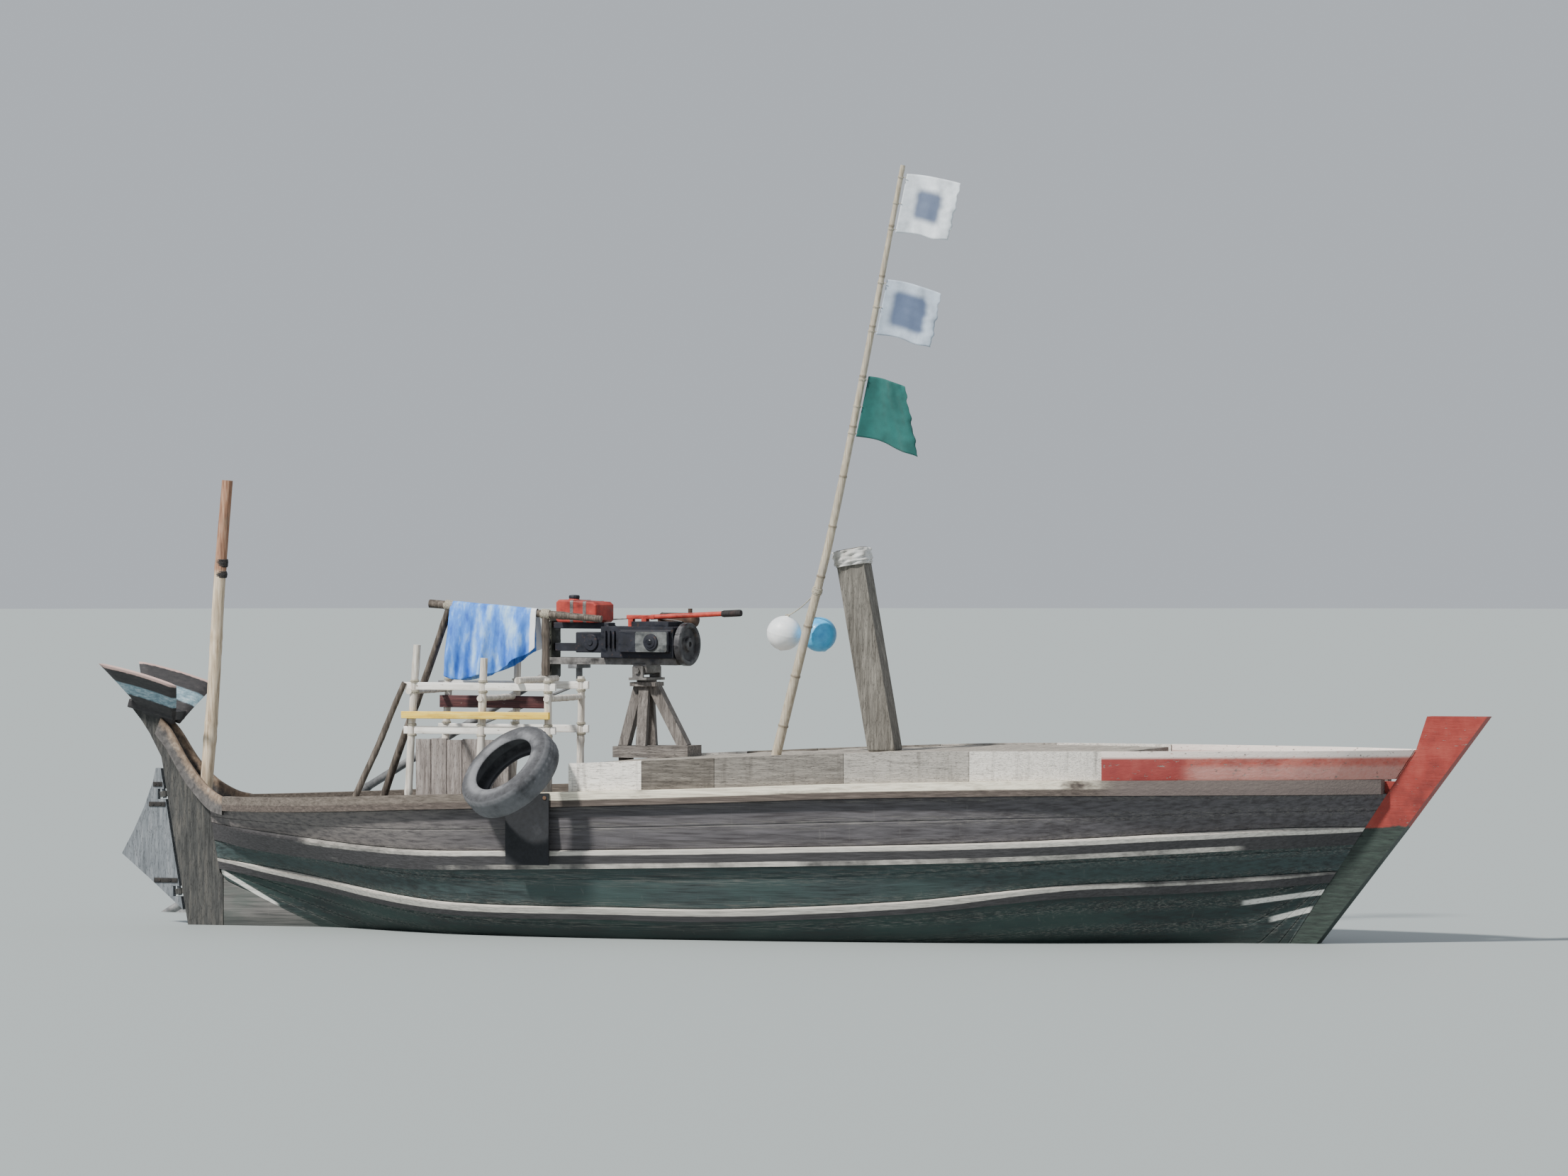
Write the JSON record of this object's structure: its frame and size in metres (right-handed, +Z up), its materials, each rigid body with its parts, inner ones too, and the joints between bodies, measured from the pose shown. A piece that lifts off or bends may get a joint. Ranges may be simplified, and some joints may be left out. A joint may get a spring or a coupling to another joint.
{
  "type": "longtail boat",
  "caption": "Plank-built wooden longtail fishing boat, afloat, with hold deck, awning rack, flag staff, rudder and a swivelling long-shaft engine.",
  "frame": {"origin": "on the waterline at the middle of the hull, on the centre plane", "axes": "+X to the bow, +Y to port, +Z up"},
  "size_m": [9.0836, 2.8339, 4.8929],
  "materials": {
    "tarred_wood": "matt black tar on planks",
    "worn_tar": "worn tar",
    "grey_wood": "bare weathered wood",
    "pale_wood": "sun-bleached wood",
    "brown_wood": "weathered brown wood",
    "red_paint": "worn red paint on wood",
    "bamboo": "dry bamboo",
    "yellow_paint": "yellow paint on wood",
    "tyre_rubber": "worn tyre rubber",
    "blue_cloth": "faded blue tarpaulin",
    "white_cloth": "faded white cloth",
    "green_cloth": "teal cloth",
    "white_plastic": "white float plastic",
    "blue_plastic": "blue float plastic",
    "engine_grey": "dark oily engine paint",
    "steel": "greased steel",
    "red_metal": "worn red paint on steel",
    "bronze": "cast bronze"
  },
  "bodies": {
    "hull": {"bottom_planking_port": "tarred_wood", "bottom_planking_starboard": "tarred_wood", "sheer_strake_port": "tarred_wood", "sheer_strake_starboard": "tarred_wood", "stern_crest": "tarred_wood", "side_strake_port": "worn_tar", "side_strake_starboard": "worn_tar", "wale_upper_port": "worn_tar", "wale_upper_starboard": "worn_tar", "wale_lower_port": "worn_tar", "wale_lower_starboard": "worn_tar", "gunwale_rail_port": "brown_wood", "gunwale_rail_starboard": "brown_wood", "stern_horn_port": "brown_wood", "stern_horn_starboard": "brown_wood", "washboard_port": "pale_wood", "washboard_starboard": "pale_wood", "hold_deck": "pale_wood", "stern_pole": "pale_wood", "rack_frame": "pale_wood", "bow_bulwark_port": "red_paint", "bow_bulwark_starboard": "red_paint", "stem": "red_paint", "keel": "grey_wood", "sternpost": "grey_wood", "cockpit_frames": "grey_wood", "sole_boards": "grey_wood", "thwart_aft": "grey_wood", "thwart_rack": "grey_wood", "thwart_middle": "grey_wood", "thwart_engine": "grey_wood", "foredeck": "grey_wood", "stern_deck": "grey_wood", "hold_bulkhead": "grey_wood", "rack_panel": "grey_wood", "ridge_pole": "grey_wood", "mast_post": "grey_wood", "engine_stand": "grey_wood", "rack_rail_yellow": "yellow_paint", "awning_cloth": "blue_cloth", "mast_lashing": "white_cloth", "flag_upper": "white_cloth", "flag_middle": "white_cloth", "flag_lower": "green_cloth", "flag_staff": "bamboo", "float_white": "white_plastic", "float_blue": "blue_plastic", "tyre_fender": "tyre_rubber", "rubber_mat": "tyre_rubber"},
    "rudder": {"rudder": "grey_wood"},
    "engine_swivel": {"swivel_yoke": "steel"},
    "engine": {"engine_bed": "steel", "drive_case": "engine_grey", "engine_block": "engine_grey", "flywheel": "engine_grey", "fuel_tank": "red_metal", "exhaust_muffler": "engine_grey", "tiller_handle": "red_metal", "tail_tube": "steel"},
    "propeller": {"propeller": "bronze"}
  },
  "joints": [
    {"name": "rudder_steer", "type": "hinge", "parent": "hull", "child": "rudder", "pos_m": [-3.8556, 0, 0.18], "axis": [-0.1676, 0, 0.9859], "range_deg": [-35, 35]},
    {"name": "engine_swing", "type": "hinge", "parent": "hull", "child": "engine_swivel", "pos_m": [-1.12, 0.62, 1.47], "axis": [0, 0, -1], "range_deg": [-4, 30]},
    {"name": "engine_tilt", "type": "hinge", "parent": "engine_swivel", "child": "engine", "pos_m": [-1.12, 0.62, 1.52], "axis": [0.2079, 0.9781, 0], "range_deg": [0, 22]},
    {"name": "propeller_spin", "type": "hinge", "parent": "engine", "child": "propeller", "pos_m": [-4.80449, 1.40316, -0.17791], "axis": [-0.8596, 0.1827, -0.4772], "continuous": true}
  ]
}
